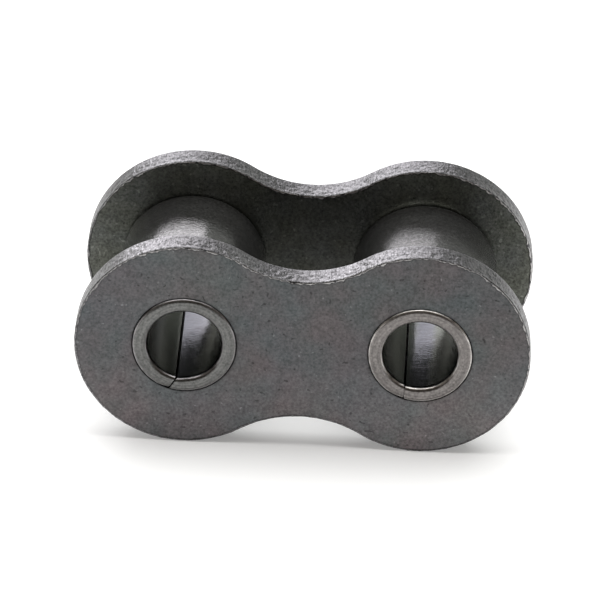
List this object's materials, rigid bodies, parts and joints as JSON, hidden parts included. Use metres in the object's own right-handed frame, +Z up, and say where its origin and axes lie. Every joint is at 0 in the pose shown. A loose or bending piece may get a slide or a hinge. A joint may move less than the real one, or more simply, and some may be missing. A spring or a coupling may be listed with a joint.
{
  "type": "roller chain inner link",
  "caption": "Inner link of a roller chain: waisted side plates pressed on curled bushes, with free rollers between the plates.",
  "frame": {"origin": "middle of the link: halfway between the two bush axes and halfway between the two plates", "axes": "+X along the chain from the left bush to the right bush, +Y along the bushes away from the front plate, +Z up"},
  "size_m": [0.0368, 0.0178, 0.0178],
  "materials": {
    "plate_steel": "heat-treated and tumbled, dull dark grey",
    "bush_steel": "case-hardened strip, satin grey",
    "roller_steel": "case-hardened, smooth dark grey"
  },
  "bodies": {
    "link": {"front_plate": "plate_steel", "rear_plate": "plate_steel", "left_bush": "bush_steel", "right_bush": "bush_steel"},
    "left_roller": {"left_roller": "roller_steel"},
    "right_roller": {"right_roller": "roller_steel"}
  },
  "joints": [
    {"name": "left_roller_spin", "type": "hinge", "parent": "link", "child": "left_roller", "pos_m": [-0.00953, 0, 0], "axis": [0, 1, 0], "continuous": true},
    {"name": "right_roller_spin", "type": "hinge", "parent": "link", "child": "right_roller", "pos_m": [0.00953, 0, 0], "axis": [0, 1, 0], "continuous": true}
  ]
}
